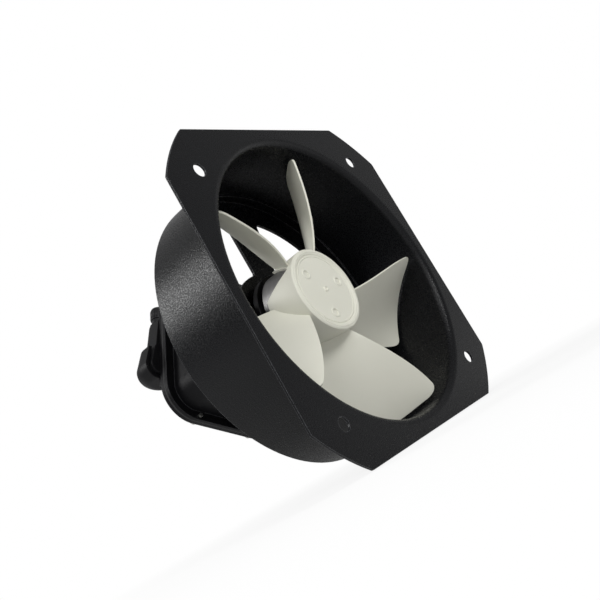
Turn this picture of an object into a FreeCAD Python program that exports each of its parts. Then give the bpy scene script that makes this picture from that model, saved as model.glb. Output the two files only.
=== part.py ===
import FreeCAD, Part
import math
import os
import Sketcher

# Combustion fan: a panel-mounted axial fan with an external-rotor motor.
# The frame: origin at the centre of the flange's front face, X to the right and Z up along
# the flange, Y from the front (the impeller's cap) to the rear (the cover and the gland).

doc = FreeCAD.newDocument("combustion_fan")
sheet = doc.addObject("Spreadsheet::Sheet", "Sizes")

# Driving dimensions in millimetres and degrees
DIMENSIONS = {
    # housing
    "bore_radius": 100.75,
    "inlet_roll": 4.8,
    "flange_land": 6.95,
    "flange_corner": 25.9,
    "flange_corner_round": 2.5,
    "sheet_gauge": 1.5,
    "sleeve_depth": 67.5,
    "mount_hole_margin": 12.54,
    "mount_hole_radius": 4.5,
    # bracket
    "arm_count": 4,
    "arm_turn": 79.5,
    "arm_spread": 22,
    "arm_flare": 12,
    "bracket_rim": 16.2,
    "window_margin": 1,
    "window_round": 3,
    "bracket_gauge": 2,
    "bracket_lip": 9,
    # bearings and shaft, from the axis outwards
    "shaft_radius": 3,
    "shaft_tail": 4.5,
    "bearing_radius": 9.5,
    "bearing_width": 6,
    "ring_wall": 1.9,
    "ball_radius": 1.75,
    "ball_count": 7,
    "ball_run": 0.04,
    "circlip_gauge": 0.7,
    "circlip_radius": 5.2,
    "washer_gauge": 0.6,
    # stator
    "tube_wall": 2.2,
    "tube_shoulder": 2.1,
    "tube_lip": 1.5,
    "boss_length": 7.1,
    "boss_wall": 2.8,
    "motor_flange_gauge": 4,
    "motor_flange_margin": 2.4,
    "tooth_count": 8,
    "yoke": 2.7,
    "slot_depth": 5.15,
    "slot_width": 9,
    "slot_mouth": 2.4,
    "shoe_depth": 1.6,
    "core_length": 16,
    "insulator_gauge": 1,
    "winding_height": 2.8,
    "winding_play": 0.4,
    # rotor
    "air_gap": 0.35,
    "core_ring_width": 4.2,
    "end_ring_width": 3.2,
    "end_ring_length": 2.4,
    "cup_wall": 1.3,
    "cup_boss_wall": 1.8,
    "cup_clearance": 2.5,
    "cup_margin": 1.2,
    "cup_run": 2.4,
    # impeller
    "blade_count": 5,
    "tip_run": 2.15,
    "tip_round": 6,
    "blade_gauge": 2,
    "blade_edge": 1.2,
    "camber_root": 1.7,
    "camber_tip": 11.7,
    "camber_skew": 1.3,
    "cap_gauge": 2.7,
    "cap_rim_width": 4.6,
    "cap_rim_rise": 0.9,
    "mark_radius": 2.2,
    "mark_depth": 0.5,
    "mark_at": 17.5,
    "skirt_wall": 1.9,
    "skirt_step": 5,
    "tooth_root": 1.1,
    "tooth_start": 5,
    "tooth_lead": 20,
    "tooth_trail": 38,
    # rear housing
    "rear_turn": 31,
    "neck_margin": 5.5,
    "neck_length": 24.5,
    "box_overhang": 7.5,
    "box_depth": 44,
    "box_wall": 2.4,
    "box_round": 17,
    "rim_width": 6.4,
    "rim_gauge": 3,
    "rim_round": 25,
    "gasket_gauge": 1,
    "cover_gauge": 3.2,
    "lead_hole_radius": 3.2,
    # screws
    "motor_screw_radius": 2,
    "motor_screw_inset": 6,
    "cover_screw_radius": 1.5,
    "cover_screw_inset": 20,
    "screw_clearance": 0.2,
    "screw_head": 1.9,
    "screw_head_height": 1.2,
    "screw_slot": 0.25,
    # capacitor
    "capacitor_radius": 15,
    "capacitor_length": 46,
    "strap_gauge": 1,
    "strap_width": 12,
    "seat_gap": 0.3,
    # terminal box on the cover's rear: a tapered hood, and a wider lid over its lower part
    "bay_place": 44,
    "bay_height": 10,
    "bay_wall": 2,
    "hood_top": 27,
    "hood_top_radius": 6.8,
    "hood_radius": 9.7,
    "hood_overlap": 3,
    "lid_top": 4.9,
    "lid_top_radius": 13.2,
    "lid_radius": 16.2,
    "lid_length": 14.4,
    "lid_round": 10,
    "lid_gauge": 2.8,
    "lid_lift": 3,
    "tab_gauge": 4.5,
    "tab_length": 7,
    "tab_width": 9,
    "lid_screw_radius": 1.2,
    # terminal block
    "block_width": 9,
    "block_height": 8,
    "block_pitch": 6,
    "block_shift": 2.5,
    "block_foot": 4,
    "pole_count": 3,
    "clamp_radius": 2,
    "clamp_depth": 3,
    "clamp_gauge": 2,
    # cable gland, in the hood's upper end
    "gland_collar_radius": 6.2,
    "gland_collar": 2,
    "gland_radius": 4.8,
    "gland_wall": 1.7,
    "gland_hole_radius": 2.4,
    "gland_length": 8,
    "gland_overlap": 3,
    "gland_nut_radius": 5.6,
    "gland_nut_length": 10.3,
    "gland_seal_gauge": 1,
    "gland_dome": 2.6,
}

# The blade's edges at root, mid-span and tip: angle about the axis, and place behind the
# front of the impeller's cap
LEADING_ANGLE = (-10.8, -1.4, 1.4)
LEADING_PLACE = (4.6, -9.6, -13.8)
TRAILING_ANGLE = (-42.0, -37.0, -31.0)
TRAILING_PLACE = (23.8, 30.4, 25.1)
# How much longer the tip runs than its arc, because it also runs rearwards
TIP_SLANT = 1.25
# Turns added to the blades' even spacing, which spread the noise over several tones
BLADE_SHIFTS = (0, 2.0, -2.4, 0.8, 0.1)
# Angles of the cap's three ejector marks
MARK_TURNS = (10, 131, 257)


def fill_sheet():
    """Writes the driving dimensions into the sheet, one row and alias each."""
    for row, (alias, number) in enumerate(DIMENSIONS.items(), start=1):
        sheet.set("A%d" % row, alias)
        sheet.set("B%d" % row, str(number))
        sheet.setAlias("B%d" % row, alias)
    doc.recompute()


class Size:
    """A size that carries both its number and the expression that gives it from the sheet."""

    def __init__(self, number, text=None):
        self.number = float(number)
        self.text = text if text is not None else repr(float(number))

    def _join(self, other, sign, number):
        return Size(number, "(%s %s %s)" % (self.text, sign, other.text))

    def __add__(self, other):
        other = as_size(other)
        return self._join(other, "+", self.number + other.number)

    def __sub__(self, other):
        other = as_size(other)
        return self._join(other, "-", self.number - other.number)

    def __mul__(self, other):
        other = as_size(other)
        return self._join(other, "*", self.number * other.number)

    def __truediv__(self, other):
        other = as_size(other)
        return self._join(other, "/", self.number / other.number)

    def __neg__(self):
        return Size(-self.number, "(0 - %s)" % self.text)

    def __radd__(self, other):
        return as_size(other) + self

    def __rsub__(self, other):
        return as_size(other) - self

    def __rmul__(self, other):
        return as_size(other) * self

    def __float__(self):
        return self.number


def as_size(item):
    """Lets plain numbers stand beside sizes."""
    return item if isinstance(item, Size) else Size(item)


class Sheet:
    """Gives each cell of the sheet as a Size, by its alias."""

    def __getattr__(self, alias):
        return Size(sheet.get(alias), "Sizes.%s" % alias)


fill_sheet()
S = Sheet()
ORIGIN = FreeCAD.Vector(0, 0, 0)
AXIS_Y = FreeCAD.Vector(0, 1, 0)
AXIS_Z = FreeCAD.Vector(0, 0, 1)

# The flange, from the bore outwards
roll_start = S.bore_radius + S.inlet_roll
flange_half = roll_start + S.flange_land
mount_hole_at = (roll_start + S.mount_hole_margin) * Size(math.sqrt(0.5))

# Radii of the motor and the impeller's hub, from the axis outwards
ball_path = (S.shaft_radius + S.bearing_radius) / 2
tube_radius = S.bearing_radius + S.tube_wall
slot_floor = tube_radius + S.yoke
slot_shoulder = slot_floor + S.slot_depth
stator_radius = slot_shoulder + S.shoe_depth * 2
core_inner = stator_radius + S.air_gap
core_outer = core_inner + S.core_ring_width
cup_radius = core_outer + S.cup_wall
cap_radius = cup_radius + S.skirt_wall
motor_flange_radius = cup_radius + S.motor_flange_margin
motor_screw_at = motor_flange_radius - S.motor_screw_inset
neck_radius = motor_flange_radius + S.neck_margin
window_inner_radius = neck_radius + S.window_margin
window_outer_radius = S.bore_radius - S.bracket_gauge - S.bracket_rim

# Places along the axis, from the bracket forwards
bracket_front = S.sleeve_depth - S.bracket_gauge
disc_rear = bracket_front - S.boss_length
disc_front = disc_rear - S.motor_flange_gauge
cup_rear = disc_front - S.cup_run
core_rear = cup_rear - S.cup_margin - S.winding_height - S.insulator_gauge
core_front = core_rear - S.core_length
winding_front = core_front - S.insulator_gauge - S.winding_height
cup_inside = winding_front - S.cup_clearance
cup_front = cup_inside - S.cup_wall
cap_raised = cup_front - S.cap_gauge
cap_front = cap_raised - S.cap_rim_rise
skirt_rear = cup_rear - S.skirt_step
front_bearing_front = core_front - S.tube_lip
front_bearing_rear = front_bearing_front + S.bearing_width
washer_rear = front_bearing_rear + S.washer_gauge
rear_bearing_rear = disc_front + S.bearing_width
circlip_rear = rear_bearing_rear + S.circlip_gauge
shaft_rear = rear_bearing_rear + S.shaft_tail

# Places along the axis, from the bracket to the rear
foot_rear = S.sleeve_depth + S.box_wall
box_front = S.sleeve_depth + S.neck_length
box_rear = box_front + S.box_depth
rim_front = box_rear - S.rim_gauge
cover_front = box_rear + S.gasket_gauge
cover_rear = cover_front + S.cover_gauge
bay_floor = cover_rear + S.bay_wall
gland_at = cover_rear + S.bay_height
lid_front = cover_rear + S.lid_lift
tab_rear = cover_rear + S.tab_gauge

# Places across the rear housing
box_half = neck_radius + S.box_overhang
rim_half = box_half + S.rim_width
rim_middle = box_half + S.rim_width / 2
cover_screw_along = box_half - S.cover_screw_inset
cover_screw_places = [
    (cover_screw_along * across, rim_middle * up) for across in (1, -1) for up in (1, -1)
]
capacitor_at = cover_front - S.seat_gap - S.capacitor_radius
strap_screw_at = S.capacitor_radius + S.seat_gap + S.strap_gauge + S.strap_width / 4
lid_shoulder = S.lid_top - S.lid_length
lid_foot = lid_shoulder - S.lid_round
lid_flat = S.lid_radius - S.lid_round
hood_wall_inset = S.lid_gauge + S.seat_gap
bay_inner_radius = S.lid_radius - hood_wall_inset - S.bay_wall
lead_hole_at = S.bay_place - bay_inner_radius + S.lead_hole_radius + S.seat_gap * 2
tab_up = lid_shoulder + S.tab_width / 2
lid_screws = [
    (-S.bay_place, lid_foot - S.tab_length / 2),
    (-(S.bay_place - S.lid_radius - S.tab_length / 2), tab_up),
]
gland_thread_radius = S.gland_hole_radius + S.gland_wall
first_window = S.arm_turn + S.arm_spread / 2
last_window = S.arm_turn + Size(360) / S.arm_count - S.arm_spread / 2


def origin_plane(body, role):
    """The body's own origin plane of that role."""
    for feature in body.Origin.OriginFeatures:
        if feature.Role == role:
            return feature


def new_body(label, turn=None):
    """A body; turn, an angle about the fan's axis, places a piece of the rear housing."""
    body = doc.addObject("PartDesign::Body", label)
    body.Label = label
    if turn is not None:
        body.Placement = FreeCAD.Placement(ORIGIN, FreeCAD.Rotation(AXIS_Y, float(turn)))
        body.setExpression("Placement.Rotation.Angle", turn.text)
    return body


def new_sketch(body, name, role, offset=None):
    """A sketch on an origin plane of its body, moved along the plane's normal by offset."""
    sketch = body.newObject("Sketcher::SketchObject", name)
    sketch.AttachmentSupport = (origin_plane(body, role), [""])
    sketch.MapMode = "FlatFace"
    if offset is not None:
        sketch.setExpression("AttachmentOffset.Base.z", offset.text)
    return sketch


def tie(sketch, kind, geometry, point, size):
    """Ties one coordinate of a point to the sheet; a zero puts the point on the sketch's axis."""
    if size.number == 0:
        axis = -2 if kind == "DistanceX" else -1
        sketch.addConstraint(Sketcher.Constraint("PointOnObject", geometry, point, axis))
        return
    index = sketch.addConstraint(Sketcher.Constraint(kind, -1, 1, geometry, point, size.number))
    sketch.setExpression("Constraints[%d]" % index, size.text)


def tie_radius(sketch, geometry, size):
    """Ties the radius of a circle or an arc to the sheet."""
    index = sketch.addConstraint(Sketcher.Constraint("Radius", geometry, size.number))
    sketch.setExpression("Constraints[%d]" % index, size.text)


def draw_outline(sketch, corners):
    """Draws a closed outline. A corner is (x, y), or (x, y, radius, (cx, cy)) where the run
    that arrives at it is an arc of that radius about the centre given."""
    corners = [tuple(as_size(c) for c in corner[:2]) + corner[2:] for corner in corners]
    places = [FreeCAD.Vector(float(c[0]), float(c[1]), 0) for c in corners]
    runs = []
    for here, corner in enumerate(corners):
        start = places[here - 1]
        end = places[here]
        if len(corner) == 2:
            geometry = sketch.addGeometry(Part.LineSegment(start, end), False)
            runs.append((geometry, 1, 2))
            continue
        centre = FreeCAD.Vector(float(corner[3][0]), float(corner[3][1]), 0)
        angles = [math.atan2(place.y - centre.y, place.x - centre.x) for place in (start, end)]
        sweep = (angles[1] - angles[0]) % (2 * math.pi)
        anticlockwise = sweep < math.pi
        first, last = angles if anticlockwise else angles[::-1]
        circle = Part.Circle(centre, AXIS_Z, (start - centre).Length)
        geometry = sketch.addGeometry(Part.ArcOfCircle(circle, first, last), False)
        runs.append((geometry, 1, 2) if anticlockwise else (geometry, 2, 1))
        tie_radius(sketch, geometry, corner[2])
    for here, corner in enumerate(corners):
        geometry, _, end = runs[here]
        following, start, _ = runs[(here + 1) % len(runs)]
        sketch.addConstraint(Sketcher.Constraint("Coincident", geometry, end, following, start))
        tie(sketch, "DistanceX", geometry, end, corner[0])
        tie(sketch, "DistanceY", geometry, end, corner[1])


def draw_circle(sketch, x, y, radius):
    """Draws a circle whose centre and radius are tied to the sheet."""
    x, y, radius = as_size(x), as_size(y), as_size(radius)
    place = FreeCAD.Vector(x.number, y.number, 0)
    geometry = sketch.addGeometry(Part.Circle(place, AXIS_Z, radius.number), False)
    tie(sketch, "DistanceX", geometry, 3, x)
    tie(sketch, "DistanceY", geometry, 3, y)
    tie_radius(sketch, geometry, radius)


def turned(body, corners, name="turned"):
    """Revolves an outline of (radius, y) corners about the fan's axis."""
    sketch = new_sketch(body, name + "_outline", "XY_Plane")
    draw_outline(sketch, corners)
    feature = body.newObject("PartDesign::Revolution", name)
    feature.Profile = sketch
    feature.ReferenceAxis = (sketch, ["V_Axis"])
    feature.Angle = 360
    return feature


def cross_sketch(body, name, front):
    """A sketch across the fan's axis, at the place front along it: x is X and y is Z."""
    return new_sketch(body, name, "XZ_Plane", -as_size(front))


def padded(body, name, sketch, front, rear):
    """Pads a cross sketch from front to rear along the fan's axis."""
    feature = body.newObject("PartDesign::Pad", name)
    feature.Profile = sketch
    feature.Reversed = True
    feature.setExpression("Length", (as_size(rear) - as_size(front)).text)
    return feature


def pocketed(body, name, sketch, front, rear):
    """Cuts a cross sketch out of the body from front to rear along the fan's axis."""
    feature = body.newObject("PartDesign::Pocket", name)
    feature.Profile = sketch
    feature.setExpression("Length", (as_size(rear) - as_size(front)).text)
    return feature


def patterned(body, name, feature, sketch, count):
    """Repeats a feature around the fan's axis."""
    pattern = body.newObject("PartDesign::PolarPattern", name)
    pattern.Originals = [feature]
    pattern.Axis = (sketch, ["N_Axis"])
    pattern.Angle = 360
    pattern.setExpression("Occurrences", as_size(count).text)
    body.Tip = pattern
    return pattern


def rounded(body, name, radius, wanted):
    """Rounds the edges of the body's last feature that the function wanted picks."""
    doc.recompute()
    base = body.Tip
    names = ["Edge%d" % (i + 1) for i, edge in enumerate(base.Shape.Edges) if wanted(edge)]
    feature = body.newObject("PartDesign::Fillet", name)
    feature.Base = (base, names)
    feature.setExpression("Radius", as_size(radius).text)
    return feature


def runs_along(edge):
    """Whether an edge is straight and parallel to the fan's axis."""
    if edge.Curve.TypeId != "Part::GeomLine":
        return False
    return abs(abs(edge.Curve.Direction.y) - 1) < 1e-6


def rounded_square(half, corner):
    """The outline of a square about the origin with arcs at its corners."""
    flat = half - corner
    return [
        (flat, half, corner, (flat, flat)),
        (-flat, half),
        (-half, flat, corner, (-flat, flat)),
        (-half, -flat),
        (-flat, -half, corner, (-flat, -flat)),
        (flat, -half),
        (half, -flat, corner, (flat, -flat)),
        (half, flat),
    ]


def build_housing():
    """The pressed housing: flange, rolled inlet and sleeve."""
    body = new_body("housing")
    half = flange_half
    corner = half + S.flange_corner
    reach = Size(
        math.sqrt(corner.number**2 - half.number**2),
        "sqrt(%s ^ 2 - %s ^ 2)" % (corner.text, half.text),
    )
    centre = (0, 0)
    outline = [
        (half, reach),
        (reach, half, corner, centre),
        (-reach, half),
        (-half, reach, corner, centre),
        (-half, -reach),
        (-reach, -half, corner, centre),
        (reach, -half),
        (half, -reach, corner, centre),
    ]
    sketch = cross_sketch(body, "flange_outline", 0)
    draw_outline(sketch, outline)
    draw_circle(sketch, 0, 0, roll_start)
    padded(body, "flange", sketch, 0, S.sheet_gauge)
    rounded(body, "flange_rounds", S.flange_corner_round, runs_along)
    outer_roll = S.inlet_roll - S.sheet_gauge
    sleeve = S.bore_radius + S.sheet_gauge
    roll_centre = (roll_start, S.inlet_roll)
    turned(body, [
        (roll_start, 0, S.inlet_roll, roll_centre),
        (roll_start, S.sheet_gauge),
        (sleeve, S.inlet_roll, outer_roll, roll_centre),
        (sleeve, S.sleeve_depth),
        (S.bore_radius, S.sleeve_depth),
        (S.bore_radius, S.inlet_roll),
    ], "sleeve")
    hole_sketch = cross_sketch(body, "mount_hole_place", 0)
    draw_circle(hole_sketch, mount_hole_at, mount_hole_at, S.mount_hole_radius)
    hole = pocketed(body, "mount_hole", hole_sketch, 0, S.sheet_gauge)
    patterned(body, "mount_holes", hole, hole_sketch, 4)
    return body


def build_bracket():
    """The motor bracket: a dished steel plate with windows between broad arms."""
    body = new_body("motor_bracket")
    lip_front = S.sleeve_depth - S.bracket_lip
    turned(body, [
        (0, bracket_front),
        (S.bore_radius - S.bracket_gauge, bracket_front),
        (S.bore_radius - S.bracket_gauge, lip_front),
        (S.bore_radius, lip_front),
        (S.bore_radius, S.sleeve_depth),
        (0, S.sleeve_depth),
    ], "dish")
    sketch = cross_sketch(body, "window_outline", bracket_front)
    draw_window(sketch, window_inner_radius, window_outer_radius, first_window, last_window, S.arm_flare)
    window = pocketed(body, "window", sketch, bracket_front, S.sleeve_depth)
    patterned(body, "windows", window, sketch, S.arm_count)
    hole_sketch = cross_sketch(body, "centre_hole_place", bracket_front)
    draw_circle(hole_sketch, 0, 0, tube_radius)
    pocketed(body, "centre_hole", hole_sketch, bracket_front, S.sleeve_depth)
    add_motor_holes(body, bracket_front, S.sleeve_depth, S.motor_screw_radius + S.screw_clearance)
    rounded(body, "window_rounds", S.window_round, is_window_corner)
    return body


def is_window_corner(edge):
    """Whether an edge is one of the upright corners of the bracket's windows."""
    if not runs_along(edge):
        return False
    middle = edge.valueAt((edge.FirstParameter + edge.LastParameter) / 2)
    away = math.hypot(middle.x, middle.z)
    return min(abs(away - float(radius)) for radius in (window_inner_radius, window_outer_radius)) < 0.01


def draw_window(sketch, inner, outer, start, end, flare):
    """Draws a window between two radii and two angles, each tied to the sheet. The arm after
    it is broader at its root by the angle flare."""
    def at(radius, angle):
        turn = math.radians(angle.number)
        text = "%s * %s(%s * 1 deg)"
        return (
            Size(radius.number * math.cos(turn), text % (radius.text, "cos", angle.text)),
            Size(radius.number * math.sin(turn), text % (radius.text, "sin", angle.text)),
        )
    draw_outline(sketch, [
        at(inner, start) + (inner, (0, 0)),
        at(outer, start),
        at(outer, end) + (outer, (0, 0)),
        at(inner, end - flare),
    ])


def add_motor_holes(body, front, rear, radius):
    """Drills the ring of four holes for the motor's screws."""
    sketch = cross_sketch(body, "motor_hole_place", front)
    draw_circle(sketch, motor_screw_at, 0, radius)
    hole = pocketed(body, "motor_hole", sketch, front, rear)
    patterned(body, "motor_holes", hole, sketch, 4)


def build_motor_flange():
    """The cast motor flange with the bearing tube that carries the stator."""
    body = new_body("motor_flange")
    front = front_bearing_front - S.tube_lip
    bore = S.bearing_radius - S.tube_shoulder
    turned(body, [
        (S.bearing_radius, front),
        (tube_radius, front),
        (tube_radius, disc_front),
        (motor_flange_radius, disc_front),
        (motor_flange_radius, disc_rear),
        (tube_radius, disc_rear),
        (tube_radius, S.sleeve_depth),
        (S.bearing_radius, S.sleeve_depth),
        (S.bearing_radius, disc_front),
        (bore, disc_front),
        (bore, washer_rear),
        (S.bearing_radius, washer_rear),
    ], "tube")
    boss_sketch = cross_sketch(body, "boss_place", disc_rear)
    draw_circle(boss_sketch, motor_screw_at, 0, S.motor_screw_radius + S.boss_wall)
    boss = padded(body, "boss", boss_sketch, disc_rear, bracket_front)
    patterned(body, "bosses", boss, boss_sketch, 4)
    add_motor_holes(body, disc_front, bracket_front, S.motor_screw_radius)


def slotted_ring(label, spans):
    """Rings with the stator's slots, one for each span of places along the axis."""
    body = new_body(label)
    for index, (front, rear) in enumerate(spans):
        turned(body, [
            (tube_radius, front),
            (stator_radius, front),
            (stator_radius, rear),
            (tube_radius, rear),
        ], "ring_%d" % index)
    first = spans[0][0]
    last = spans[-1][1]
    sketch = cross_sketch(body, "slot_outline", first)
    half = S.slot_width / 2
    mouth = S.slot_mouth / 2
    shoe = slot_shoulder + S.shoe_depth
    beyond = stator_radius + S.shoe_depth
    draw_outline(sketch, [
        (slot_floor, half / 2),
        (slot_floor, -half / 2),
        (slot_shoulder, -half),
        (shoe, -mouth),
        (beyond, -mouth),
        (beyond, mouth),
        (shoe, mouth),
        (slot_shoulder, half),
    ])
    slot = pocketed(body, "slot", sketch, first, last)
    patterned(body, "slots", slot, sketch, S.tooth_count)


def build_stator():
    """The laminated stator core and the insulators on its two ends."""
    slotted_ring("stator_core", [(core_front, core_rear)])
    slotted_ring("stator_insulators", [
        (core_front - S.insulator_gauge, core_front),
        (core_rear, core_rear + S.insulator_gauge),
    ])


def build_windings():
    """The copper windings: two end bundles joined by the bars in the stator's slots."""
    body = new_body("windings")
    front = core_front - S.insulator_gauge
    rear = core_rear + S.insulator_gauge
    inner = slot_floor
    outer = slot_shoulder
    half = S.slot_width / 2
    play = S.winding_play
    sketch = cross_sketch(body, "bar_outline", front)
    draw_outline(sketch, [
        (inner + play, half / 2 - play),
        (inner + play, -(half / 2 - play)),
        (outer - play, -(half - play * 2)),
        (outer - play, half - play * 2),
    ])
    bar = padded(body, "bar", sketch, front, rear)
    patterned(body, "bars", bar, sketch, S.tooth_count)
    for name, seat, top in (
        ("front_bundle", front, winding_front),
        ("rear_bundle", rear, rear + S.winding_height),
    ):
        turned(body, [(inner, seat), (inner + play, top), (outer - play, top), (outer, seat)], name)


def build_bearing(label, front):
    """A ball bearing: outer ring, inner ring and balls, each in a node of its own."""
    rear = front + S.bearing_width
    middle = front + S.bearing_width / 2
    shoulder = S.bearing_radius - S.ring_wall
    land = S.shaft_radius + S.ring_wall
    for name, inside, outside in (
        ("_outer_ring", shoulder, S.bearing_radius),
        ("_inner_ring", S.shaft_radius, land),
    ):
        ring = new_body(label + name)
        turned(ring, [(inside, front), (outside, front), (outside, rear), (inside, rear)])
        race = new_sketch(ring, "race_outline", "XY_Plane")
        draw_circle(race, ball_path, middle, S.ball_radius + S.ball_run)
        groove = ring.newObject("PartDesign::Groove", "race")
        groove.Profile = race
        groove.ReferenceAxis = (race, ["V_Axis"])
        groove.Angle = 360
    balls = new_body(label + "_balls")
    sketch = new_sketch(balls, "ball_outline", "XY_Plane")
    far = ball_path + S.ball_radius
    centre = (ball_path, middle)
    ball = spun(balls, "ball", sketch, ball_path, [
        (ball_path, middle - S.ball_radius),
        (far, middle, S.ball_radius, centre),
        (ball_path, middle + S.ball_radius, S.ball_radius, centre),
    ])
    place = cross_sketch(balls, "ball_ring_place", middle)
    patterned(balls, "ball_ring", ball, place, S.ball_count)


def build_shaft():
    """The shaft with its circlip, and the washer that loads the front bearing."""
    shaft = new_body("shaft")
    groove = S.shaft_radius - S.circlip_gauge / 2
    turned(shaft, [
        (0, cup_front),
        (S.shaft_radius, cup_front),
        (S.shaft_radius, rear_bearing_rear),
        (groove, rear_bearing_rear),
        (groove, circlip_rear),
        (S.shaft_radius, circlip_rear),
        (S.shaft_radius, shaft_rear),
        (0, shaft_rear),
    ])
    clip = new_body("circlip")
    turned(clip, [
        (groove, rear_bearing_rear),
        (S.circlip_radius, rear_bearing_rear),
        (S.circlip_radius, circlip_rear),
        (groove, circlip_rear),
    ])
    washer = new_body("preload_washer")
    bore = S.bearing_radius - S.tube_shoulder
    turned(washer, [
        (bore, front_bearing_rear),
        (S.bearing_radius, front_bearing_rear),
        (S.bearing_radius, washer_rear),
        (bore, washer_rear),
    ])


def build_rotor():
    """The steel rotor cup with its hub, the laminated core ring and its end rings."""
    cup = new_body("rotor_cup")
    boss = S.shaft_radius + S.cup_boss_wall
    turned(cup, [
        (S.shaft_radius, cup_front),
        (cup_radius, cup_front),
        (cup_radius, cup_rear),
        (core_outer, cup_rear),
        (core_outer, cup_inside),
        (boss, cup_inside),
        (boss, front_bearing_front),
        (S.shaft_radius, front_bearing_front),
    ], "cup")
    core = new_body("rotor_core")
    turned(core, [
        (core_inner, core_front),
        (core_outer, core_front),
        (core_outer, core_rear),
        (core_inner, core_rear),
    ])
    rings = new_body("rotor_end_rings")
    ring_inner = core_outer - S.end_ring_width
    for name, start, end in (
        ("front_ring", core_front - S.end_ring_length, core_front),
        ("rear_ring", core_rear, core_rear + S.end_ring_length),
    ):
        turned(rings, [(ring_inner, start), (core_outer, start), (core_outer, end), (ring_inner, end)], name)


def between(values, share):
    """The smooth curve through three values at the shares 0, 0.5 and 1."""
    root, middle, tip = values
    bend = 2 * (root + tip - 2 * middle)
    return root + (tip - root - bend) * share + bend * share * share


def blade_point(share, chord, side):
    """A point of the blade's front (side 1) or rear (side -1) face, from root to tip by share
    and from the leading to the trailing edge by chord."""
    root = float(cup_radius) + float(S.skirt_wall) / 4
    tip = float(S.bore_radius - S.tip_run)
    corner = float(S.tip_round)
    tip_width = tip * math.radians(LEADING_ANGLE[2] - TRAILING_ANGLE[2]) * TIP_SLANT
    from_end = min(chord, 1 - chord) * tip_width
    drop = 0.0
    if from_end < corner:
        drop = corner - math.sqrt(corner**2 - (corner - from_end) ** 2)
    radius = root + share * (tip - drop - root)
    span = (radius - root) / (tip - root)
    lead = between(LEADING_ANGLE, span)
    trail = between(TRAILING_ANGLE, span)
    front = float(cap_front) + between(LEADING_PLACE, span)
    rear = float(cap_front) + between(TRAILING_PLACE, span)
    bulge = 4 * chord * (1 - chord)
    camber = float(S.camber_root) + (float(S.camber_tip) - float(S.camber_root)) * span
    skew = 2 * (1 - 2 * chord) * float(S.camber_skew) * span
    place = front + chord * (rear - front) + bulge * (camber + skew)
    edge = float(S.blade_edge)
    gauge = edge + (float(S.blade_gauge) - edge) * math.sqrt(bulge)
    slope = math.atan2(rear - front, radius * math.radians(lead - trail))
    place -= side * gauge / 2 * math.cos(slope)
    turn = math.radians(lead + chord * (trail - lead)) - side * gauge / 2 * math.sin(slope) / radius
    return FreeCAD.Vector(radius * math.cos(turn), place, radius * math.sin(turn))


def blade_solid():
    """One blade: two smooth faces through rows of points, closed by ruled edges."""
    shares = [row / 6 for row in range(7)]
    chords = [0, 0.02, 0.06, 0.12, 0.25, 0.4, 0.6, 0.75, 0.88, 0.94, 0.98, 1]
    faces = []
    for side in (1, -1):
        surface = Part.BSplineSurface()
        surface.interpolate([[blade_point(share, chord, side) for chord in chords] for share in shares])
        faces.append(surface.toShape())
    sides = []
    for edge in faces[0].Edges:
        twin = min(faces[1].Edges, key=lambda other: (other.CenterOfMass - edge.CenterOfMass).Length)
        sides.append(Part.makeRuledSurface(edge, twin))
    shell = Part.makeShell(faces + sides)
    shell.sewShape()
    solid = Part.makeSolid(shell)
    if solid.Volume < 0:
        solid.reverse()
    return solid


def tooth_gap():
    """The gap in the skirt behind one blade: a triangle on the skirt, cut towards the axis."""
    outer = float(cap_radius)
    inner = outer / 2
    front = float(cup_front + S.tooth_root)
    depth = float(skirt_rear) - front
    beyond = (depth + 1) / depth
    start = -float(S.tooth_start)
    middle = math.radians((float(S.tooth_lead) - float(S.tooth_trail)) / 2)
    along = FreeCAD.Vector(math.cos(middle), 0, math.sin(middle))
    across = FreeCAD.Vector(-math.sin(middle), 0, math.cos(middle))
    corners = []
    for angle, share in ((start, 0), (float(S.tooth_lead), beyond), (-float(S.tooth_trail), beyond)):
        turn = math.radians(start + (angle - start) * share) - middle
        place = front + depth * share
        corners.append(along * inner + across * (outer * math.sin(turn)) + AXIS_Y * place)
    face = Part.Face(Part.makePolygon(corners + corners[:1]))
    return face.extrude(along * outer)


def around(shape, turns):
    """Copies of a shape, turned about the fan's axis from X towards Z."""
    copies = []
    for turn in turns:
        copy = shape.copy()
        copy.Placement = FreeCAD.Placement(ORIGIN, FreeCAD.Rotation(AXIS_Y, -turn))
        copies.append(copy)
    return copies


def build_impeller():
    """The impeller: round cap with a raised rim, saw-tooth skirt and twisted blades."""
    front = float(cap_front)
    raised = float(cap_raised)
    cap = float(cap_radius)
    rim = cap - float(S.cap_rim_width)
    bevel = float(S.cap_rim_rise)
    rear = float(skirt_rear)
    bore = float(cup_radius)
    corners = [
        (0, raised),
        (rim, raised),
        (rim + bevel, front),
        (cap - bevel, front),
        (cap, front + bevel),
        (cap, rear),
        (bore, rear),
        (bore, float(cup_front)),
        (0, float(cup_front)),
    ]
    places = [FreeCAD.Vector(x, y, 0) for x, y in corners]
    hub = Part.Face(Part.makePolygon(places + places[:1])).revolve(ORIGIN, AXIS_Y, 360)
    mark_floor = FreeCAD.Vector(float(S.mark_at), raised + float(S.mark_depth), 0)
    mark = Part.makeCylinder(float(S.mark_radius), float(S.mark_depth) * 2, mark_floor, -AXIS_Y)
    hub = hub.cut(around(mark, MARK_TURNS))
    count = int(float(S.blade_count))
    shifts = [BLADE_SHIFTS[index % len(BLADE_SHIFTS)] for index in range(count)]
    turns = [360 / count * index + shift for index, shift in enumerate(shifts)]
    hub = hub.cut(around(tooth_gap(), turns))
    shape = hub.fuse(around(blade_solid(), turns))
    impeller = doc.addObject("Part::Feature", "impeller")
    impeller.Label = "impeller"
    impeller.Shape = shape


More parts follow.
